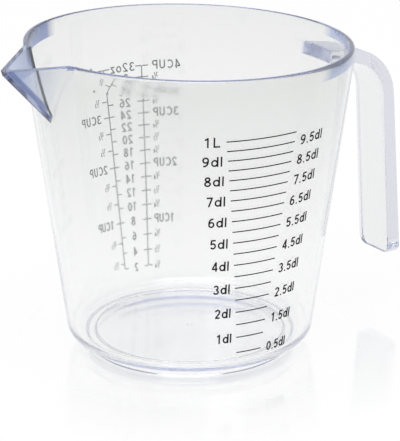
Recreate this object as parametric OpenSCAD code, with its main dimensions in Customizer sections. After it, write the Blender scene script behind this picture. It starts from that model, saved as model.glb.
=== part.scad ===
// Measuring jug with a spout, an open strap handle and two printed scales.
// Millimetres. The axis of the jug is Z, the table is z = 0, the handle is
// towards +X and the spout towards -X.

/* [Vessel] */
// Outer radius that the wall's taper reaches at the table
base_r = 51; // [46:0.5:58]
// Outer radius that the wall's taper reaches at the rim
mouth_r = 68.5; // [64:0.5:76]
// Height of the rim, halfway between the spout and the handle
rim_h = 131; // [120:0.5:150]
// How much higher the rim is at the spout, and lower at the handle
rim_rise = 2; // [1:0.1:4]
// Wall thickness
wall_t = 2; // [1.5:0.1:2.6]

/* [Base] */
// Thickness of the floor
floor_t = 3; // [2:0.1:3.6]
// Outer radius of the rounded corner between the wall and the floor
corner_r = 6; // [4:0.1:7]
// Inner radius of that corner
corner_in_r = 4; // [2.5:0.1:5]
// Height of the foot ring under the floor
foot_h = 4; // [2:0.1:6]
// How far the foot ring stands in from the wall's foot
foot_in = 7; // [5.8:0.1:10]
// Width of the foot ring
foot_t = 3.5; // [2:0.1:5]
// Sloping edges of the foot ring
foot_edge = 0.5; // [0.2:0.1:1]
// Radius of the gate mark under the middle of the floor
gate_r = 1.2; // [0.8:0.1:2]
// Depth of the gate mark
gate_h = 0.4; // [0.2:0.1:0.8]

/* [Rim] */
// Height of the upright collar at the rim, halfway round
band_h = 6; // [4.5:0.1:10]
// Width of the sloping outer edge on top of the collar
band_edge = 0.6; // [0.3:0.1:1]

/* [Spout] */
// How far the tip stands out past the mouth
spout_out = 17; // [12:0.5:24]
// How far the top of the tip lies under the rim
spout_drop = 1; // [0.5:0.1:4]
// Height of the blunt end of the tip
spout_blunt = 2.6; // [1.5:0.1:4]
// Angle of the keel over the table
spout_keel_angle = 47.5; // [40:0.5:55]
// Half of the angle between the two walls
spout_half_angle = 47; // [40:0.5:52]
// Thickness of the two walls
spout_t = 2; // [1.2:0.1:2.6]

/* [Handle] */
// Width of the strap
strap_w = 21.3; // [16:0.1:28]
// Thickness of the strap at the wall and round the bend
strap_t = 5.6; // [3.5:0.1:6.5]
// Thickness of the strap at its free end
strap_end_t = 6.8; // [4:0.1:8]
// How far the bend's centre stands out past the mouth
bend_out = 5.7; // [4:0.1:16]
// How far the bend's centre lies under the rim
bend_drop = 37.3; // [32:0.1:45]
// Outer radius of the bend
bend_r = 24.3; // [16:0.1:25.5]
// Slope of the straight part between the wall and the bend
root_slope = 7; // [3:0.5:10]
// Slope of the long part away from upright
grip_slope = 3.5; // [0:0.1:6]
// Height of the free end over the table
strap_end_h = 21.4; // [12:0.1:50]
// Radius of the two corners of the free end
strap_corner_r = 4; // [1:0.1:6]

/* [Printed scales] */
// Thickness of the ink
ink_t = 0.1; // [0.05:0.01:0.2]
// Clearance between the ink and the wall
ink_clear = 0.02; // [0.01:0.01:0.05]
// Height from which the scales count the volume
fill_floor = 8; // [6:0.1:10]
// Height of the one litre line
litre_line_h = 106.8; // [80:0.1:112]
// Width of a printed line
line_w = 0.45; // [0.3:0.05:0.7]
// Part of the letter height that a letter's stroke takes
stroke_share = 0.15; // [0.08:0.005:0.16]

/* [Litre scale] */
// Direction of the middle of the litre scale
litre_az = -96; // [-110:1:-80]
// How far round the lowest line stands from that direction
litre_foot_turn = 0.8; // [0:0.1:2]
// Length of the one litre line
litre_line_l = 31; // [24:0.5:34]
// Length of the lowest line
half_line_l = 11.2; // [8:0.1:14]
// How far the lowest line is printed under its true level
half_line_drop = 1; // [0:0.1:2]
// Height of the numbers
litre_text_h = 4.2; // [3:0.1:4.6]
// How wide the letters are at the top against the narrow ones
litre_text_wide = 1.25; // [0.9:0.05:1.3]
// Width of the lowest letters, as a share of the width at the top
litre_foot_share = 0.76; // [0.7:0.01:1]
// Gap between a line and the number on its left
left_text_gap = 2; // [1:0.1:4]
// Gap between a line and the number on its right
right_text_gap = 2.7; // [1:0.1:4]

/* [Cup scale] */
// Direction of the middle of the cup scale
cup_az = 85.2; // [82:0.1:88]
// Distance between its two lines at the top
cup_lines_w = 18.8; // [16:0.1:20]
// Width of the scale at its foot, as a share of its width at the top
cup_foot_share = 0.64; // [0.6:0.01:1]
// How much the scale is stretched about its still height, as a share
cup_stretch_share = 0.021; // [0:0.001:0.03]
// Height at which the stretched scale is at its true level
cup_still_h = 52; // [40:1:60]
// Length of a tick to one side of its line, at the top
tick_l = 3; // [2:0.1:3.5]
// Height of the ounce numbers
ounce_text_h = 4; // [3:0.1:4.4]
// Height of the cup numbers
cup_text_h = 4; // [3:0.1:4.4]
// How wide the letters are at the top against the narrow ones
cup_text_wide = 1.18; // [0.9:0.01:1.3]
// Height of the two figures of a fraction
fraction_text_h = 2; // [1.5:0.1:2.4]
// Gap between a tick and its label, at the top
cup_text_gap = 1.6; // [0.8:0.1:2]

/* [Hidden] */
$fn = 96;

// A fluid ounce as a share of a litre, and ounces in a cup
fluid_ounce_share = 0.0295735;
cup_ounces = 8;
top_ounces = 32;
cups = top_ounces / cup_ounces;

// One overrun for all cuts
cut = 1;

// The wall is a cone shell
taper = (mouth_r - base_r) / rim_h;
taper_angle = atan(taper);
function outer_r(z) = base_r + taper * z;
function inner_r(z) = outer_r(z) - wall_t;

// The rim lies in a plane that rises towards the spout
rim_slope = atan(rim_rise / mouth_r);
function rim_z(x) = rim_h - x * tan(rim_slope);
rim_top = rim_h + 2 * rim_rise;
band_z = rim_h - band_h;
band_r = outer_r(band_z);

// The rounded corner runs from the foot ring's outside to the upright wall
foot_r = base_r - foot_in;
corner_top = foot_h + floor_t + corner_in_r;
corner_steps = 8;

// The keel runs up and out from the wall to the tip
spout_reach = mouth_r + spout_out;
spout_tip_h = rim_h - spout_drop;
spout_keel_tip_h = spout_tip_h - spout_blunt;
spout_wall_shift = spout_t / sin(spout_half_angle);
spout_l = 2 * (spout_reach - base_r);
// The faces run in as far as the empty middle of the jug
spout_depth_share = 1.75;
spout_depth = spout_depth_share * spout_out;
spout_top_x = band_r;
spout_top_slope = atan((rim_z(-spout_top_x) - spout_tip_h) / (spout_reach - spout_top_x));

// The strap runs out from the wall, round the bend and down
bend_x = mouth_r + bend_out;
bend_h = rim_h - bend_drop;
bend_inner_r = bend_r - strap_t;
// The corners' arcs meet the edges at a slight angle
corner_in_share = 0.96;
corner_in = corner_in_share * strap_corner_r;
bend_turn = 90 - root_slope - grip_slope;
bend_steps = 24;
root_l = bend_x - outer_r(bend_h) + bend_r * sin(root_slope) + wall_t;
// The grip runs past the level end, which is cut after
grip_l = bend_h - strap_end_h + bend_r;
strap_spread = (strap_end_t - strap_t) * grip_l / (bend_h - strap_end_h);

// Height at which the jug holds a share of a litre, counted from the fill floor
function level(litre_share) =
    let (low = pow(inner_r(fill_floor), 3), high = pow(inner_r(litre_line_h), 3))
    (pow(low + litre_share * (high - low), 1 / 3) - inner_r(0)) / taper;

// Letter shapes: centre lines in shares of the letter height, from the left foot
figure_width_share = 0.56;
half_stroke_share = stroke_share / 2;
top_share = 1 - half_stroke_share;
low_share = half_stroke_share;
bow_step = 30;

// Centre line of a bow between two directions
function bow(middle, radii, from, to) =
    let (n = ceil(abs(to - from) / bow_step))
    [for (i = [0:n]) let (a = from + (to - from) * i / n)
        [middle.x + radii.x * cos(a), middle.y + radii.y * sin(a)]];

// Each letter is a list of strokes
zero_shares = [bow([0.28, 0.5], [0.21, top_share - 0.5], 0, 360)];
one_shares = [[[0.09, 0.77], [0.32, top_share - 0.02]], [[0.32, 0], [0.32, 1]]];
two_shares = [concat(bow([0.27, 0.7], [0.2, top_share - 0.7], 165, -35), [[0.1, low_share]]),
    [[0.04, low_share], [0.5, low_share]]];
three_shares = [bow([0.26, 0.73], [0.18, top_share - 0.73], 160, -90),
    bow([0.26, 0.285], [0.21, 0.285 - low_share], 90, -160)];
four_shares = [[[0.4, 0], [0.4, 1]], [[0.38, 0.93], [0.07, 0.28]], [[0.03, 0.26], [0.54, 0.26]]];
five_shares = [[[0.5, top_share], [0.13, top_share]], [[0.15, 0.97], [0.1, 0.5]],
    bow([0.27, 0.335], [0.2, 0.335 - low_share], 145, -155)];
six_shares = [bow([0.28, 0.32], [0.2, 0.32 - low_share], 0, 360),
    bow([0.38, 0.44], [0.3, top_share - 0.44], 188, 75)];
seven_shares = [[[0.04, top_share], [0.53, top_share]], [[0.49, top_share], [0.21, 0]]];
eight_shares = [bow([0.28, 0.74], [0.17, top_share - 0.74], 0, 360),
    bow([0.28, 0.28], [0.21, 0.28 - low_share], 0, 360)];
nine_shares = [for (stroke = six_shares) [for (p = stroke) [figure_width_share - p.x, 1 - p.y]]];
point_shares = [[[0.12, 0], [0.12, stroke_share]]];
d_shares = [bow([0.29, 0.36], [0.215, 0.36 - low_share], 0, 360), [[0.52, 0], [0.52, 1]]];
l_shares = [[[0.13, 0], [0.13, 1]]];
litre_shares = [[[0.12, 0], [0.12, 1]], [[0.1, low_share], [0.56, low_share]]];
c_shares = [bow([0.34, 0.5], [0.27, top_share - 0.5], 45, 315)];
u_shares = [concat([[0.09, 1]], bow([0.3, 0.34], [0.21, 0.34 - low_share], 180, 360), [[0.51, 1]])];
p_shares = [[[0.1, 0], [0.1, 1]],
    concat([[0.1, top_share]], bow([0.31, 0.7], [0.19, top_share - 0.7], 90, -90), [[0.1, 0.4625]])];
o_shares = [bow([0.28, 0.37], [0.21, 0.37 - low_share], 0, 360)];
z_shares = [[[0.05, 0.66], [0.46, 0.66]], [[0.42, 0.64], [0.08, 0.08]], [[0.04, low_share], [0.48, low_share]]];
figure_shares = [zero_shares, one_shares, two_shares, three_shares, four_shares,
    five_shares, six_shares, seven_shares, eight_shares, nine_shares];

// Width that a letter takes in a line, in shares of the letter height
function advance_share(letter) =
    letter == "." ? 0.33 : letter == "l" ? 0.3 : letter == "C" ? 0.76 :
    letter == "U" ? 0.72 : letter == "P" ? 0.68 : letter == "L" ? 0.7 : 0.68;
side_share = 0.06;
function letter_shares(letter) =
    letter == "." ? point_shares : letter == "d" ? d_shares : letter == "l" ? l_shares :
    letter == "L" ? litre_shares : letter == "C" ? c_shares : letter == "U" ? u_shares :
    letter == "P" ? p_shares : letter == "o" ? o_shares : letter == "z" ? z_shares :
    figure_shares[ord(letter) - ord("0")];
function start_share(word, n) = n == 0 ? 0 : start_share(word, n - 1) + advance_share(word[n - 1]);
function word_l(word, h, wide) = h * wide * start_share(word, len(word));

// Fractions: the upper figure, a slanted line and the lower figure
fraction_rise_share = 0.85;
fraction_run_share = 0.62;
slash_lean_share = 0.25;
function fraction_l(h) = h * (2 * fraction_run_share + slash_lean_share);

// Direction of a piece of a centre line, and its left side
function along(a, b) = (b - a) / norm(b - a);
function left_of(d) = [-d.y, d.x];
// Side of a centre line at one of its points, stretched at a corner
function side_at(line, i, shut) =
    let (n = len(line),
        before = i > 0 ? along(line[i - 1], line[i]) : shut ? along(line[n - 2], line[0]) : undef,
        after = i < n - 1 ? along(line[i], line[i + 1]) : shut ? along(line[0], line[1]) : undef)
    is_undef(before) ? left_of(after) : is_undef(after) ? left_of(before) :
    let (middle = left_of(before) + left_of(after)) 2 * middle / (middle * middle);
function is_shut(line) = norm(line[0] - line[len(line) - 1]) < half_stroke_share / 2;
function one_side(line, shut, reach) = [for (i = [0:len(line) - 1]) line[i] + reach * side_at(line, i, shut)];
function widen(line, wide) = [for (p = line) [p.x * wide, p.y]];

// One stroke of a letter, as a band round its centre line
module stroke(line, h) {
    shut = is_shut(line);
    left = one_side(line, shut, half_stroke_share) * h;
    right = one_side(line, shut, -half_stroke_share) * h;
    last = len(line) - 1;
    if (shut) difference() {
        polygon([for (i = [0:last - 1]) right[i]]);
        polygon([for (i = [0:last - 1]) left[i]]);
    }
    else polygon(concat(left, [for (i = [last:-1:0]) right[i]]));
}

module letter(name, h, wide) {
    for (line = letter_shares(name)) stroke(widen(line, wide), h);
}

// Puts a flat shape on the wall as a layer of ink, upright along the taper
module on_wall(az, z) {
    rotate([0, 0, az])
        translate([outer_r(z), 0, z])
            rotate([0, taper_angle, 0])
                rotate([90, 0, 90])
                    translate([0, 0, ink_clear])
                        linear_extrude(ink_t) children();
}

// Angle that a length takes round the wall at a height
function turn(l, z) = l / outer_r(z) * 180 / PI;

// A word on the wall, from its left end, with its middle at a height
module word_on_wall(word, az, z, h, wide) {
    for (n = [0:len(word) - 1]) {
        middle_share = start_share(word, n) + advance_share(word[n]) / 2;
        on_wall(az + turn(h * wide * middle_share, z), z)
            translate([h * wide * (side_share - advance_share(word[n]) / 2), -h / 2])
                letter(word[n], h, wide);
    }
}

// A fraction on the wall, from its left end, with its middle at a height
module fraction_on_wall(upper, lower, az, z, h) {
    on_wall(az + turn(fraction_l(h) / 2, z), z) translate([-fraction_l(h) / 2, -h * fraction_rise_share]) {
        translate([0, h * (2 * fraction_rise_share - 1)]) letter(upper, h, 1);
        translate([h * (fraction_run_share + slash_lean_share), 0]) letter(lower, h, 1);
        stroke([[fraction_run_share - slash_lean_share / 2, 0],
            [fraction_run_share + slash_lean_share, 2 * fraction_rise_share]], h);
    }
}

// A printed line round the wall between two directions
module line_on_wall(az_from, az_to, z) {
    foot_z = z - line_w / 2;
    head_z = z + line_w / 2;
    rotate([0, 0, az_from]) rotate_extrude(angle = az_to - az_from)
        polygon([
            [outer_r(foot_z) + ink_clear, foot_z],
            [outer_r(foot_z) + ink_clear + ink_t, foot_z],
            [outer_r(head_z) + ink_clear + ink_t, head_z],
            [outer_r(head_z) + ink_clear, head_z]
        ]);
}

// All that lies under the slanted plane of the rim and inside its sloping outer edge
module under_rim() {
    translate([0, 0, rim_h]) rotate([0, rim_slope, 0])
        translate([0, 0, -rim_h / 2])
            cylinder(r1 = band_r - band_edge + rim_h / 2, r2 = band_r - band_edge, h = rim_h / 2);
}

// All that the spout's two outer faces or, moved in by its walls, its inner faces enclose
module spout_wedge(shift) {
    half_w = spout_depth * tan(spout_half_angle);
    translate([-spout_reach, 0, spout_keel_tip_h]) rotate([0, spout_keel_angle - 90, 0])
        translate([shift, 0, -spout_l])
            linear_extrude(2 * spout_l) polygon([[0, 0], [spout_depth, half_w], [spout_depth, -half_w]]);
}

module vessel_wall() {
    color("#e4e7ea", 0.5) difference() {
        rotate_extrude() polygon([
            [inner_r(corner_top), corner_top],
            [outer_r(corner_top), corner_top],
            [outer_r(band_z), band_z],
            [inner_r(band_z), band_z]
        ]);
        spout_wedge(spout_wall_shift);
    }
}

// Quarter round between the floor and the wall, from the floor up
function corner_arc(r, wall_r, z) = [
    for (i = [0:corner_steps]) let (a = -90 + (90 - taper_angle) * i / corner_steps)
        [wall_r - r / cos(taper_angle) + r * cos(a), z + r * sin(a)]
];

module base_corner() {
    out_z = foot_h + corner_r;
    inner = corner_arc(corner_in_r, inner_r(corner_top), corner_top);
    color("#dfe3ea", 0.5) rotate_extrude() polygon(concat(
        [[foot_r, foot_h]],
        corner_arc(corner_r, outer_r(out_z), out_z),
        [[outer_r(corner_top), corner_top], [inner_r(corner_top), corner_top]],
        [for (i = [corner_steps:-1:0]) inner[i]],
        [[foot_r, foot_h + floor_t]]
    ));
}

module floor_panel() {
    color("#dfe3ea", 0.5) union() {
        translate([0, 0, foot_h]) cylinder(r = foot_r, h = floor_t);
        translate([0, 0, foot_h - gate_h]) cylinder(r = gate_r, h = floor_t);
    }
}

module foot_ring() {
    foot_in_r = foot_r - foot_t;
    color("#ccd2de", 0.5) rotate_extrude() polygon([
        [foot_in_r, foot_edge],
        [foot_in_r + foot_edge, 0],
        [foot_r - foot_edge, 0],
        [foot_r, foot_edge],
        [foot_r, foot_h],
        [foot_in_r, foot_h]
    ]);
}

module rim_band() {
    color("#aab2d6", 0.6) difference() {
        intersection() {
            rotate_extrude() polygon([
                [inner_r(band_z), band_z],
                [band_r, band_z],
                [band_r, rim_top],
                [inner_r(rim_top), rim_top]
            ]);
            under_rim();
        }
        spout_wedge(spout_wall_shift);
    }
}

module pouring_spout() {
    color("#8f9ac8", 0.6) difference() {
        spout_wedge(0);
        spout_wedge(spout_wall_shift);
        // The inside of the jug, out to the wall and the band
        translate([0, 0, -cut]) cylinder(r1 = outer_r(-cut), r2 = outer_r(band_z), h = band_z + cut);
        translate([0, 0, band_z - cut]) cylinder(r = band_r, h = 2 * rim_top);
        // The side away from the spout
        translate([0, -2 * mouth_r, -rim_top]) cube([2 * spout_reach, 4 * mouth_r, 4 * rim_top]);
        // The blunt tip
        translate([-spout_reach - spout_l, -2 * mouth_r, -rim_top]) cube([spout_l, 4 * mouth_r, 4 * rim_top]);
        // The top edges, which fall from the rim to the tip
        translate([-spout_top_x, 0, rim_z(-spout_top_x)]) rotate([0, -spout_top_slope, 0])
            translate([-2 * spout_reach, -2 * mouth_r, 0]) cube([4 * spout_reach, 4 * mouth_r, rim_top]);
    }
}

// One face of the strap seen from the side: round the bend and on to the wall, from the bend's centre
function strap_face(r) = concat(
    [for (i = [0:bend_steps]) let (a = bend_turn * i / bend_steps) [r * cos(a), r * sin(a)]],
    [[r * cos(bend_turn) - root_l * sin(bend_turn), r * sin(bend_turn) + root_l * cos(bend_turn)]]
);

// The strap from the side, with the grip that runs down from the bend
module strap_profile() {
    inner = strap_face(bend_inner_r);
    polygon(concat(
        [[bend_inner_r, -grip_l], [bend_r + strap_spread, -grip_l]],
        strap_face(bend_r),
        [for (i = [len(inner) - 1:-1:0]) inner[i]]
    ));
}

module handle_strap() {
    color("#dcdfe6", 0.6) difference() {
        translate([bend_x, strap_w / 2, bend_h]) rotate([90, 0, 0]) rotate([0, 0, grip_slope])
            linear_extrude(strap_w) strap_profile();
        cylinder(r1 = outer_r(0), r2 = outer_r(rim_h), h = rim_h);
        // Level end with two rounded corners
        translate([0, -strap_w, strap_end_h - rim_h]) cube([2 * spout_reach, 2 * strap_w, rim_h]);
        for (side = [-1, 1]) rotate([90, 0, 90]) linear_extrude(2 * spout_reach) difference() {
            translate([side * strap_w / 2, strap_end_h]) square(2 * corner_in, center = true);
            translate([side * (strap_w / 2 - corner_in), strap_end_h + corner_in]) circle(strap_corner_r);
        }
    }
}

// Lines of the litre scale, the lowest first
litre_steps = 20;
function litre_level(n) = level(n / litre_steps) - (n == 1 ? half_line_drop : 0);
function litre_half_turn(n) =
    let (l = half_line_l + (litre_line_l - half_line_l) * (n - 1) / (litre_steps - 1))
    turn(l, litre_level(n)) / 2;

function litre_line_az(n) = litre_az + litre_foot_turn * (litre_steps - n) / (litre_steps - 1);
function litre_wide(n) =
    litre_text_wide * (1 - (1 - litre_foot_share) * (litre_steps - n) / (litre_steps - 1));

module litre_lines() {
    color("#3a3c3e") for (n = [1:litre_steps])
        line_on_wall(litre_line_az(n) - litre_half_turn(n), litre_line_az(n) + litre_half_turn(n), litre_level(n));
}

module decilitre_numbers() {
    color("#26282a") for (n = [2:2:litre_steps]) {
        word = n == litre_steps ? "1L" : str(n / 2, "dl");
        z = litre_level(n);
        l = word_l(word, litre_text_h, litre_wide(n));
        word_on_wall(word, litre_line_az(n) - litre_half_turn(n) - turn(left_text_gap + l, z), z,
            litre_text_h, litre_wide(n));
    }
}

module half_decilitre_numbers() {
    color("#26282a") for (n = [1:2:litre_steps]) {
        z = litre_level(n);
        word_on_wall(str((n - 1) / 2, ".5dl"), litre_line_az(n) + litre_half_turn(n) + turn(right_text_gap, z), z,
            litre_text_h, litre_wide(n));
    }
}

// Ounces are numbered in twos, and the two cup scales count up with them
function ounce_level(ounces) =
    let (z = level(fluid_ounce_share * ounces)) z + cup_stretch_share * (z - cup_still_h);
function cup_level(n) = ounce_level(cup_ounces * n);
quarters = 4;
thirds = 3;
scale_foot_z = cup_level(1 / quarters);
scale_top_z = cup_level(cups);

// The scale narrows evenly from its top to its foot
function narrow_share(z) = 1 - (1 - cup_foot_share) * (scale_top_z - z) / (scale_top_z - scale_foot_z);
function cup_turn(l, z) = turn(l * narrow_share(z), z);
// Side is -1 for the line with the quarter cups and 1 for the one with the thirds
function line_az(side, z) = cup_az + side * cup_turn(cup_lines_w / 2, z);
line_parts = 8;
// Hair's breadth between the parts of a line, and between it and its ticks
part_gap = 0.05;

module cup_line(side) {
    part_h = (scale_top_z - scale_foot_z) / line_parts;
    for (i = [0:line_parts - 1]) {
        z = scale_foot_z + part_h * i;
        run = (line_az(side, z + part_h) - line_az(side, z)) / turn(1, z + part_h / 2);
        on_wall(line_az(side, z), z) polygon([
            [-line_w / 2, part_gap],
            [line_w / 2, part_gap],
            [run + line_w / 2, part_h / cos(taper_angle)],
            [run - line_w / 2, part_h / cos(taper_angle)]
        ]);
    }
}

// A tick beside a line, on the side of the larger or the smaller angles
module tick(side, way, z) {
    near_az = line_az(side, z) + way * turn(line_w / 2 + part_gap, z);
    far_az = line_az(side, z) + way * cup_turn(tick_l, z);
    line_on_wall(min(near_az, far_az), max(near_az, far_az), z);
}

module quarter_cup_line() {
    color("#505356") {
        cup_line(-1);
        for (n = [1:quarters * cups]) for (way = [-1, 1]) tick(-1, way, cup_level(n / quarters));
    }
}

module third_cup_line() {
    color("#505356") {
        cup_line(1);
        for (n = [1:quarters * cups]) tick(1, -1, cup_level(n / quarters));
        for (n = [1:thirds * cups]) tick(1, 1, cup_level(n / thirds));
    }
}

// A cup number or a fraction beside a tick, with its near end at the gap
module cup_label(side, z, whole, upper, lower) {
    word = str(whole, "CUP");
    wide = cup_text_wide * narrow_share(z);
    l = upper == 0 ? word_l(word, cup_text_h, wide) : fraction_l(fraction_text_h);
    near = cup_turn(tick_l + cup_text_gap, z);
    az = line_az(side, z) + (side > 0 ? near : -near - turn(l, z));
    if (upper == 0) word_on_wall(word, az, z, cup_text_h, wide);
    else fraction_on_wall(str(upper), str(lower), az, z, fraction_text_h);
}

module quarter_cup_labels() {
    color("#505356") for (n = [1:quarters * cups]) {
        part = n % quarters;
        cup_label(-1, cup_level(n / quarters), floor(n / quarters), part == 2 ? 1 : part, part == 2 ? 2 : 4);
    }
}

module third_cup_labels() {
    color("#505356") for (n = [1:thirds * cups])
        cup_label(1, cup_level(n / thirds), floor(n / thirds), n % thirds, 3);
}

module ounce_numbers() {
    color("#505356") for (ounces = [2:2:top_ounces]) {
        z = ounce_level(ounces);
        word = ounces == top_ounces ? str(ounces, "oz") : str(ounces);
        wide = cup_text_wide * narrow_share(z);
        word_on_wall(word, cup_az - turn(word_l(word, ounce_text_h, wide), z) / 2, z, ounce_text_h, wide);
    }
}

vessel_wall();
base_corner();
floor_panel();
foot_ring();
rim_band();
pouring_spout();
handle_strap();
litre_lines();
decilitre_numbers();
half_decilitre_numbers();
quarter_cup_line();
quarter_cup_labels();
ounce_numbers();
third_cup_line();
third_cup_labels();
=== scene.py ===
"""A clear plastic measuring jug with a V spout, an open strap handle and printed scales."""

import math

import bpy
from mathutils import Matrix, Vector


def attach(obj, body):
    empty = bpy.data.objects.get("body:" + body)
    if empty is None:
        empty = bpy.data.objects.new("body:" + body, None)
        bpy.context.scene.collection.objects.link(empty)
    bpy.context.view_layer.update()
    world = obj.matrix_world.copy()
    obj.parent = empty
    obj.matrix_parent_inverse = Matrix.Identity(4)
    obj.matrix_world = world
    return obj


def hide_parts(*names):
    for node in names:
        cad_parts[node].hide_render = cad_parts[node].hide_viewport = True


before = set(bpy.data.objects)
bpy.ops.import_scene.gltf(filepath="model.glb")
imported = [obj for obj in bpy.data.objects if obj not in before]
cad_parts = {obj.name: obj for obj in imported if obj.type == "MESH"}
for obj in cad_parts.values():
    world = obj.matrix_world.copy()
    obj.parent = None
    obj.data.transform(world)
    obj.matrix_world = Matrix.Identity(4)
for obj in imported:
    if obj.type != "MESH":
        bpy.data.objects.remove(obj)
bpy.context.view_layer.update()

# Jug vessel: the cup, its foot ring and the upright collar at the rim are turned
# round one axis. It is moulded in one shot from clear styrene plastic, polished
# by the mould, with small rounded edges.
mm = 0.001
base_r, mouth_r, rim_h, wall_t = 51.0, 68.5, 131.0, 2.0
floor_t, corner_r, corner_in_r = 3.0, 6.0, 4.0
foot_r, foot_in_r, foot_h, foot_round = 44.0, 40.5, 4.0, 0.8
gate_r, gate_h, gate_slope = 1.2, 0.4, 0.3
wall_mid_z, band_z = 60.0, 125.0
rim_round, rim_in_round = 1.2, 0.4
rim_slope = math.atan(2.0 / mouth_r)
taper = (mouth_r - base_r) / rim_h
turn_steps = 192


def outer_r(z):
    """Outer radius of the wall's cone at a height in millimetres."""
    return base_r + taper * z


def inner_r(z):
    """Inner radius of the wall's cone at a height in millimetres."""
    return outer_r(z) - wall_t


def arc(middle, radius, start, end, steps=5):
    """Points of an arc in a section, from one direction to another in degrees."""
    turns = [math.radians(start + (end - start) * i / steps) for i in range(steps + 1)]
    return [(middle[0] + radius * math.cos(a), middle[1] + radius * math.sin(a)) for a in turns]


def drawn(name, points):
    """A new piece with one chain of edges, drawn by extruding a vertex from point to point."""
    bpy.ops.object.select_all(action="DESELECT")
    bpy.ops.mesh.primitive_plane_add(size=mm)
    piece = bpy.context.object
    piece.name = name
    bpy.ops.object.mode_set(mode="EDIT")
    bpy.ops.mesh.select_mode(type="VERT")
    bpy.ops.mesh.select_all(action="SELECT")
    bpy.ops.mesh.merge(type="CENTER")
    at = Vector(points[0]) * mm
    bpy.ops.transform.translate(value=at)
    for point in points[1:]:
        step = Vector(point) * mm - at
        bpy.ops.mesh.extrude_region_move(TRANSFORM_OT_translate={"value": step})
        at += step
    return piece


def select_where(piece, kind, test):
    """Selects the vertices or edges in edit mode whose points, in millimetres, pass a test."""
    bpy.ops.mesh.select_mode(type=kind)
    bpy.ops.mesh.select_all(action="DESELECT")
    bpy.ops.object.mode_set(mode="OBJECT")
    mesh = piece.data
    if kind == "VERT":
        for vertex in mesh.vertices:
            vertex.select = test(vertex.co / mm)
    else:
        for edge in mesh.edges:
            edge.select = test(*(mesh.vertices[i].co / mm for i in edge.vertices))
    bpy.ops.object.mode_set(mode="EDIT")


band_r = outer_r(band_z)
rim_in = inner_r(band_z)
lean = math.atan(taper)
lean_deg = math.degrees(lean)
out_z, in_z = foot_h + corner_r, foot_h + floor_t + corner_in_r
out_x = outer_r(out_z) - corner_r / math.cos(lean)
in_x = inner_r(in_z) - corner_in_r / math.cos(lean)
section = (
    [(0, foot_h - gate_h), (gate_r - gate_slope, foot_h - gate_h), (gate_r, foot_h)]
    + arc((foot_in_r - foot_round, foot_h - foot_round), foot_round, 90, 0)
    + arc((foot_in_r + foot_round, foot_round), foot_round, 180, 270)
    + arc((foot_r - foot_round, foot_round), foot_round, -90, 0)
    + arc((foot_r + foot_round, foot_h - foot_round), foot_round, 180, 90)
    + arc((out_x, out_z), corner_r, -90, -lean_deg, 12)
    + [(outer_r(wall_mid_z), wall_mid_z), (band_r, band_z)]
    + arc((band_r - rim_round, rim_h - rim_round), rim_round, 0, 90, 6)
    + arc((rim_in + rim_in_round, rim_h - rim_in_round), rim_in_round, 90, 180, 3)
    + [(rim_in, band_z), (inner_r(wall_mid_z), wall_mid_z)]
    + arc((in_x, in_z), corner_in_r, -lean_deg, -90, 10)
    + [(0, foot_h + floor_t)]
)
jug = drawn("clear_jug", [(r, 0, z) for r, z in section])
bpy.ops.mesh.select_all(action="SELECT")
bpy.ops.mesh.spin(steps=turn_steps, angle=2 * math.pi, center=(0, 0, 0), axis=(0, 0, 1))
bpy.ops.mesh.select_all(action="SELECT")
bpy.ops.mesh.remove_doubles(threshold=0.01 * mm)
bpy.ops.mesh.normals_make_consistent(inside=False)
select_where(jug, "VERT", lambda v: v.z > band_z + 1)
bpy.ops.transform.rotate(
    value=-rim_slope, orient_axis="Y", orient_type="GLOBAL", center_override=(0, 0, rim_h * mm)
)
bpy.ops.object.mode_set(mode="OBJECT")

# Pouring spout: two flat walls that meet in a sharp keel, drawn out from the
# rim and open to the cup. It is moulded with the cup, so it is joined to it
# and its channel is cut through the cup's wall.
spout_reach, spout_tip_h, spout_blunt = 85.5, 130.0, 2.6
spout_keel, spout_half, spout_t = math.radians(47.5), math.radians(47.0), 2.0
spout_depth = 1.75 * (spout_reach - mouth_r)
spout_len, spout_root_x = 34.0, -40.0
spout_edge, channel_edge = 1.0, 0.6
# The spout's walls reach this far into the cup's wall, where a cone cuts them off;
# then the cone's middle and its height
bite, bite_z, bite_h = 0.9, 100.0, 80.0
tip = Vector((-spout_reach, 0, spout_tip_h - spout_blunt))
keel_in = Vector((math.sin(spout_keel), 0, math.cos(spout_keel)))
keel_down = Vector((math.cos(spout_keel), 0, -math.sin(spout_keel)))
spout_top = Vector((-band_r, 0, rim_h + band_r * math.tan(rim_slope)))


def wedge(name, shift, soft):
    """A prism along the keel that holds all between the spout's faces, moved in by shift."""
    side = Vector((0, spout_depth * math.tan(spout_half), 0))
    start = tip - keel_down * spout_len + keel_in * shift
    far = start + keel_in * spout_depth
    piece = drawn(name, [start, far + side, far - side])
    bpy.ops.mesh.select_all(action="SELECT")
    bpy.ops.mesh.edge_face_add()
    along = keel_down * 2 * spout_len * mm
    bpy.ops.mesh.extrude_region_move(TRANSFORM_OT_translate={"value": along})
    bpy.ops.mesh.select_all(action="SELECT")
    bpy.ops.mesh.normals_make_consistent(inside=False)
    select_where(piece, "EDGE", lambda a, b: max(abs(a.y), abs(b.y)) < 0.01)
    bpy.ops.mesh.bevel(offset=soft * mm, segments=4, affect="EDGES")
    return piece


def trim(point, normal):
    """Cuts away all of the piece in edit mode that lies beyond a plane, and closes it."""
    bpy.ops.mesh.select_all(action="SELECT")
    bpy.ops.mesh.bisect(
        plane_co=Vector(point) * mm, plane_no=normal, use_fill=True, clear_outer=True
    )


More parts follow.
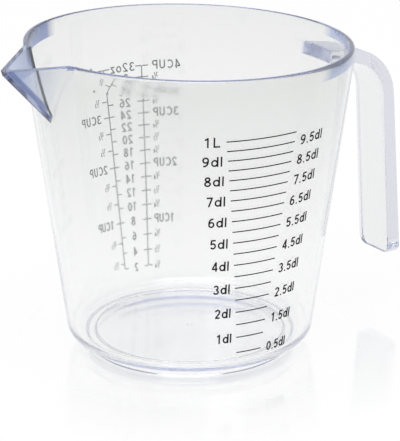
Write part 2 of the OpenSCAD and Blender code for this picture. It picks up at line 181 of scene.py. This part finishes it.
def combine(piece, other, operation):
    """Joins a solid to a piece or cuts it out, then deletes the solid."""
    bpy.ops.object.select_all(action="DESELECT")
    bpy.context.view_layer.objects.active = piece
    piece.select_set(True)
    change = piece.modifiers.new(operation.lower(), "BOOLEAN")
    change.operation, change.object, change.solver = operation, other, "EXACT"
    bpy.ops.object.modifier_apply(modifier=change.name)
    bpy.data.objects.remove(other)


lip = wedge("spout_walls", 0, spout_edge)
trim((-spout_reach, 0, 0), (-1, 0, 0))
fall = math.atan((spout_top.z - spout_tip_h) / (spout_reach - band_r))
trim(spout_top, (-math.sin(fall), 0, math.cos(fall)))
trim((spout_root_x, 0, 0), (1, 0, 0))
bpy.ops.object.mode_set(mode="OBJECT")
bpy.ops.mesh.primitive_cone_add(
    vertices=turn_steps,
    radius1=(outer_r(bite_z - bite_h / 2) - bite) * mm,
    radius2=(outer_r(bite_z + bite_h / 2) - bite) * mm,
    depth=bite_h * mm,
    location=(0, 0, bite_z * mm),
)
combine(lip, bpy.context.object, "DIFFERENCE")
combine(jug, lip, "UNION")
channel = wedge("spout_channel", spout_t / math.sin(spout_half), channel_edge)
bpy.ops.object.mode_set(mode="OBJECT")
combine(jug, channel, "DIFFERENCE")

# Handle: one broad flat strap that leaves the wall under the rim, bends round
# and hangs free over the table. It is moulded with the cup, with soft edges
# and two rounded corners at its free end.
strap_w, strap_t, strap_end_t = 21.3, 5.6, 6.8
bend_x, bend_h, bend_r = 74.2, 93.7, 24.3
root_slope, grip_slope, strap_end_h = math.radians(7.0), math.radians(3.5), 21.4
strap_corner, strap_edge = 4.0, 0.7
bend_steps, corner_steps, edge_steps = 24, 8, 3
bend_turn = math.pi / 2 - root_slope - grip_slope
bend_inner = bend_r - strap_t
grip_l = bend_h - strap_end_h
root_x = 65.0


def strap_point(along, across):
    """A point of the strap's side from the bend's centre, turned by the grip's slope."""
    x = along * math.cos(grip_slope) - across * math.sin(grip_slope)
    z = along * math.sin(grip_slope) + across * math.cos(grip_slope)
    return Vector((bend_x + x, strap_w / 2, bend_h + z))


def strap_face(radius, end_x):
    """One face of the strap, round the bend and on to the wall."""
    turns = [bend_turn * i / bend_steps for i in range(bend_steps + 1)]
    bend = [strap_point(radius * math.cos(a), radius * math.sin(a)) for a in turns]
    last = bend[-1]
    rise = (last.x - end_x) * math.tan(root_slope)
    return bend + [Vector((end_x, last.y, last.z + rise))]


def grip_end(radius, spread):
    """Where a face of the grip meets the level of the free end."""
    top = strap_point(radius, 0)
    slant = math.tan(grip_slope) + spread / grip_l
    return Vector((top.x + (top.z - strap_end_h) * slant, top.y, strap_end_h))


strap = drawn(
    "handle_strap_body",
    [grip_end(bend_inner, 0), grip_end(bend_r, strap_end_t - strap_t)]
    + strap_face(bend_r, root_x)
    + strap_face(bend_inner, root_x)[::-1],
)
bpy.ops.mesh.select_all(action="SELECT")
bpy.ops.mesh.edge_face_add()
bpy.ops.mesh.extrude_region_move(TRANSFORM_OT_translate={"value": (0, -strap_w * mm, 0)})
bpy.ops.mesh.select_all(action="SELECT")
bpy.ops.mesh.normals_make_consistent(inside=False)
select_where(
    strap,
    "EDGE",
    lambda a, b: max(a.z, b.z) < strap_end_h + 0.01 and abs(a.y - b.y) < 0.01,
)
bpy.ops.mesh.bevel(offset=strap_corner * mm, segments=corner_steps, affect="EDGES")
bpy.ops.object.mode_set(mode="OBJECT")
rounding = strap.modifiers.new("soft_edges", "BEVEL")
rounding.width, rounding.segments, rounding.limit_method = strap_edge * mm, edge_steps, "ANGLE"
rounding.angle_limit = math.radians(40)
bpy.ops.object.modifier_apply(modifier=rounding.name)
combine(jug, strap, "UNION")
bpy.ops.object.select_all(action="DESELECT")
jug.select_set(True)
bpy.context.view_layer.objects.active = jug
bpy.ops.object.shade_smooth_by_angle(angle=math.radians(28))


def sheet_colour(code):
    """Linear colour with full alpha for an sRGB hex value."""
    parts = [int(code[i : i + 2], 16) / 255 for i in (1, 3, 5)]
    return [p / 12.92 if p <= 0.04045 else ((p + 0.055) / 1.055) ** 2.4 for p in parts] + [1]


def add_node(tree, kind, settings=(), **inputs):
    """Adds one node, sets its properties and sockets, and links what is given as a socket."""
    node = tree.nodes.new(kind)
    for key, value in dict(settings).items():
        setattr(node, key, value)
    for key, value in inputs.items():
        socket = node.inputs[int(key[1:]) if key[1:].isdigit() else key.replace("_", " ")]
        if isinstance(value, bpy.types.NodeSocket):
            tree.links.new(value, socket)
        else:
            socket.default_value = value
    return node


def blend(tree, share, low, high):
    """A colour between two colours by a share."""
    mix = add_node(tree, "ShaderNodeMix", {"data_type": "RGBA"}, _0=share, _6=low, _7=high)
    return mix.outputs[2]


def span(tree, value, start, end, low=0.0, high=1.0):
    """A value carried over from one range to another."""
    ends = {"From_Min": start, "From_Max": end, "To_Min": low, "To_Max": high}
    return add_node(tree, "ShaderNodeMapRange", Value=value, **ends).outputs[0]


def calc(tree, operation, first, second=0.0):
    """The result of one calculation on two values, or on the first alone."""
    node = add_node(tree, "ShaderNodeMath", {"operation": operation}, _0=first, _1=second)
    return node.outputs[0]


def where_all(tree, *shares):
    """A share that is full only where all of these shares are."""
    result = shares[0]
    for share in shares[1:]:
        result = calc(tree, "MULTIPLY", result, share)
    return result


def blank(name):
    """A new material with an output node only, and its tree and output."""
    material = bpy.data.materials.new(name)
    material.use_nodes = True
    tree = material.node_tree
    tree.nodes.clear()
    return material, tree, tree.nodes.new("ShaderNodeOutputMaterial")


# Clear styrene, moulded and polished by the mould: glossy and nearly water clear,
# with a slight haze in the collar and at the foot. Where the eye looks along the
# plastic, as in the rim, the spout and the strap, its surface colour carries painted
# shade and painted reflection in blue-grey, over the plastic's own faint tint.
styrene, tree, out = blank("clear_styrene")
spot = add_node(tree, "ShaderNodeTexCoord").outputs["Object"]
sized = add_node(tree, "ShaderNodeVectorMath", {"operation": "SCALE"}, _0=spot, Scale=1 / mm)
x, y, z = add_node(tree, "ShaderNodeSeparateXYZ", Vector=sized.outputs["Vector"]).outputs
off_middle = calc(tree, "ABSOLUTE", y)
glancing = add_node(tree, "ShaderNodeLayerWeight", Blend=0.5).outputs["Facing"]
side_y = strap_w / 2
ridge_h = spout_tip_h + spout_reach * math.tan(fall)

# Ranges over which each tint and each painted shade comes in: in millimetres on the
# jug, or in how far the eye looks along the surface
upper_z, collar_z, above_foot_z = (20, band_z), (band_z - 0.5, band_z), (12, 20)
strap_x, strap_side_y = (73.5, 75), (side_y - 0.75, side_y - 0.25)
root_x_in, root_side_y = (60, 62), (side_y + 0.05, side_y - 0.35)
root_over_z, root_under_z = (113.4, 113.9), (119.6, 119.1)
seen_along, seen_aslant = (0.8, 1.0), (0.44, 0.52)
spout_past_wall, spout_out_x = (-base_r - 0.3, -base_r - 0.7), (-64, -84)
crest_z, ridge_z, keel_y = (rim_h - 0.4, rim_h - 0.2), (ridge_h - 0.3, ridge_h - 0.1), (2.4, 2.1)
left_to_right = (-40, 40)

# The upper wall and the strap; then painted shade on the strap's two sides, on the
# wall seen along, where it is partly the plastic's own tint, on the collar's ends
# and on the thick root of the strap
upper = span(tree, z, *upper_z)
strap_all = span(tree, x, *strap_x)
# Painted shade on the strap's two sides
strap_side_shade = where_all(tree, span(tree, off_middle, *strap_side_y), strap_all)
# Where the eye grazes the wall: partly the plastic's own tint through its depth, partly painted
# shade
grazed_tint_and_shade = where_all(tree, span(tree, glancing, *seen_along), span(tree, z, *above_foot_z))
ends = where_all(tree, span(tree, glancing, *seen_aslant), span(tree, z, *collar_z))
# Painted blue shade on the strap's thick root, where it is seen through the wall
root = where_all(
    tree,
    span(tree, z, *root_over_z),
    span(tree, z, *root_under_z),
    span(tree, off_middle, *root_side_y),
    span(tree, x, *root_x_in),
)

# The spout outside the wall's cone, with a painted reflection on its outer part;
# painted shade on its slanting top edges, on its keel and on the rim's sloping top
# edge beside it
from_wall = calc(tree, "ADD", x, calc(tree, "MULTIPLY", z, taper))
spout = span(tree, from_wall, *spout_past_wall)
# Painted blue reflection of the room on the spout's outer part, even on both walls
spout_reflection = span(tree, x, *spout_out_x)
over_rim = calc(tree, "ADD", z, calc(tree, "MULTIPLY", x, math.tan(rim_slope)))
off_spout = calc(tree, "SUBTRACT", 1.0, spout)
# Painted shade as a dark blue line along the rim's top edge
crest_shade = where_all(tree, span(tree, over_rim, *crest_z), off_spout)
over_spout = calc(tree, "SUBTRACT", z, calc(tree, "MULTIPLY", x, math.tan(fall)))
# Painted shade as dark blue lines on the spout's top edges and along its keel
ridge = where_all(tree, span(tree, over_spout, *ridge_z), spout)
keel = where_all(tree, span(tree, off_middle, *keel_y), spout)

# Painted shade on the collar's ends, darker blue at the left end than at the right
left_end_shade, right_end_shade = sheet_colour("#4d5e97"), sheet_colour("#93a2d2")
painted_end_shade = blend(tree, span(tree, x, *left_to_right), left_end_shade, right_end_shade)
tint_and_shade = sheet_colour("#fefefe")
# Each colour lays over the last: the plastic's faint grey on the upper wall and the strap, then
# painted shade and painted reflection in blue-grey
for share, colour in (
    (upper, sheet_colour("#eeefee")),
    (strap_all, sheet_colour("#eeefef")),
    (strap_side_shade, sheet_colour("#dfe0e7")),
    (grazed_tint_and_shade, sheet_colour("#c4cce0")),
    (ends, painted_end_shade),
    (crest_shade, sheet_colour("#7c8dc6")),
    (spout_reflection, sheet_colour("#bac5e0")),
    (ridge, sheet_colour("#8697c9")),
    (keel, sheet_colour("#7685b2")),
    (root, sheet_colour("#d9ddf5")),
):
    tint_and_shade = blend(tree, share, tint_and_shade, colour)

# Haze, as roughness: least in the wall, more in the collar and at the foot, a
# little in the spout, and most on its top edges and on the strap's root
wall_haze, collar_haze, foot_haze, spout_haze, edge_haze = 0.04, 0.1, 0.09, 0.06, 0.3
cup_from_x, cup_to_x, hazy_collar_z, hazy_foot_z = (-57, -54), (70, 69), (124, 126), (10, 17)
cup = where_all(tree, span(tree, x, *cup_from_x), span(tree, x, *cup_to_x))
haze_above = span(tree, z, *hazy_collar_z, wall_haze, collar_haze)
haze_below = span(tree, z, *hazy_foot_z, foot_haze, 0.0)
haze = where_all(tree, calc(tree, "MAXIMUM", haze_above, haze_below), cup)
for share, most in ((spout, spout_haze), (ridge, edge_haze), (root, edge_haze)):
    haze = calc(tree, "MAXIMUM", haze, calc(tree, "MULTIPLY", share, most))
shine = add_node(
    tree,
    "ShaderNodeBsdfPrincipled",
    Base_Color=tint_and_shade,
    Roughness=haze,
    IOR=1.57,
    Transmission_Weight=1.0,
)
depth = add_node(tree, "ShaderNodeVolumeAbsorption", Color=(0.36, 0.41, 0.58, 1), Density=2.5)
tree.links.new(shine.outputs[0], out.inputs["Surface"])
tree.links.new(depth.outputs[0], out.inputs["Volume"])
jug.data.materials.clear()
jug.data.materials.append(styrene)
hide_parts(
    "vessel_wall",
    "base_corner",
    "floor_panel",
    "foot_ring",
    "rim_band",
    "pouring_spout",
    "handle_strap",
)
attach(jug, "root")

# Printed scales: thin pad prints on the outside of the wall, the litre scale in
# near black in front and the cup and ounce scale in grey behind. Both inks are
# flat and hardly shine.
for name, code, nodes in (
    ("black_pad_ink", "#08080a", ("litre_lines", "decilitre_numbers", "half_decilitre_numbers")),
    (
        "grey_pad_ink",
        "#b9bcbf",
        (
            "quarter_cup_line",
            "quarter_cup_labels",
            "ounce_numbers",
            "third_cup_line",
            "third_cup_labels",
        ),
    ),
):
    ink, tree, out = blank(name)
    coat = add_node(
        tree, "ShaderNodeBsdfPrincipled", Base_Color=sheet_colour(code), Roughness=0.6, IOR=1.3
    )
    tree.links.new(coat.outputs[0], out.inputs["Surface"])
    for node in nodes:
        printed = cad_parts[node]
        for slot in printed.material_slots:
            slot.material = ink

# Table: a large white sheet, smooth enough for a faint mirror image close to the
# foot. It shines by itself for the eye, and takes the jug's soft shadow.
white, paper_white = (1, 1, 1, 1), sheet_colour("#ececec")
table_w, table_gap = 6.0, 0.0001
mirror_in, mirror_out, mirror_share, own_light = 0.045, 0.11, 0.3, 0.92
bpy.ops.mesh.primitive_plane_add(size=table_w, location=(0, 0, -table_gap))
table = bpy.context.object
table.name = "table_top"
paper, tree, out = blank("white_table_top")
ways = add_node(tree, "ShaderNodeLightPath").outputs
spot = add_node(tree, "ShaderNodeTexCoord").outputs["Object"]
bright = calc(tree, "MAXIMUM", ways["Is Camera Ray"], ways["Is Transmission Ray"])
bright = calc(tree, "MAXIMUM", bright, ways["Is Glossy Ray"])
matt = add_node(tree, "ShaderNodeBsdfPrincipled", Base_Color=paper_white, Roughness=0.35)
glow = add_node(tree, "ShaderNodeEmission", Color=white, Strength=1.0)
bright = calc(tree, "MULTIPLY", bright, own_light)
lit = add_node(tree, "ShaderNodeMixShader", _0=bright, _1=matt.outputs[0], _2=glow.outputs[0])
away = add_node(tree, "ShaderNodeVectorMath", {"operation": "LENGTH"}, _0=spot).outputs["Value"]
mirror = span(tree, away, mirror_in, mirror_out, mirror_share, 0.0)
mirror = where_all(tree, mirror, ways["Is Camera Ray"])
gloss = add_node(tree, "ShaderNodeBsdfGlossy", Color=white, Roughness=0.08)
mixed = add_node(tree, "ShaderNodeMixShader", _0=mirror, _1=lit.outputs[0], _2=gloss.outputs[0])
tree.links.new(mixed.outputs[0], out.inputs["Surface"])
table.data.materials.append(paper)

# Room: white all round with a blue-grey ceiling, which only light that the clear
# plastic bends upwards shows
room_white, ceiling = (0.8, 0.8, 0.8, 1), (0.17, 0.21, 0.34, 1)
world = bpy.data.worlds.new("white_room")
bpy.context.scene.world = world
world.use_nodes = True
tree = world.node_tree
tree.nodes.clear()
ways = add_node(tree, "ShaderNodeLightPath").outputs
spot = add_node(tree, "ShaderNodeTexCoord").outputs["Generated"]
rise = add_node(tree, "ShaderNodeSeparateXYZ", Vector=spot).outputs["Z"]
overhead = blend(tree, span(tree, rise, 0.35, 0.6), white, ceiling)
seen = room_white
for way, colour in (("Glossy", white), ("Transmission", overhead), ("Camera", white)):
    seen = blend(tree, ways[f"Is {way} Ray"], seen, colour)
room = add_node(tree, "ShaderNodeBackground", Color=seen, Strength=1.0)
out = tree.nodes.new("ShaderNodeOutputWorld")
tree.links.new(room.outputs[0], out.inputs["Surface"])

# Lamps: one broad soft lamp above the jug and one at the left of the camera, both
# turned to the middle of the jug
jug_middle = Vector((0, 0, 0.06))
for name, at, size, power in (
    ("lamp_above", (-0.2, -0.3, 1.3), 1.0, 9.0),
    ("lamp_left", (-1.2, -0.5, 0.9), 0.8, 5.0),
):
    data = bpy.data.lights.new(name, "AREA")
    data.size, data.energy = size, power
    lamp = bpy.data.objects.new(name, data)
    bpy.context.collection.objects.link(lamp)
    lamp.location = at
    lamp.rotation_euler = (jug_middle - Vector(at)).to_track_quat("-Z", "Y").to_euler()

# Camera: a long lens that looks down a little from above the rim, on the spout's
# side. Light may pass many surfaces, as it does in clear plastic.
lens = bpy.data.cameras.new("camera")
lens.lens, lens.sensor_width = 174.5, 36.0
lens.clip_start, lens.clip_end = 0.01, 20.0
camera = bpy.data.objects.new("camera", lens)
bpy.context.collection.objects.link(camera)
camera.location = (-0.452, -0.7177, 0.3495)
camera.rotation_euler = (math.radians(70.71), 0, math.radians(-32.5))
bpy.context.scene.camera = camera
bpy.context.scene.view_settings.view_transform = "Standard"
paths = bpy.context.scene.cycles
paths.max_bounces = paths.glossy_bounces = paths.transmission_bounces = 128
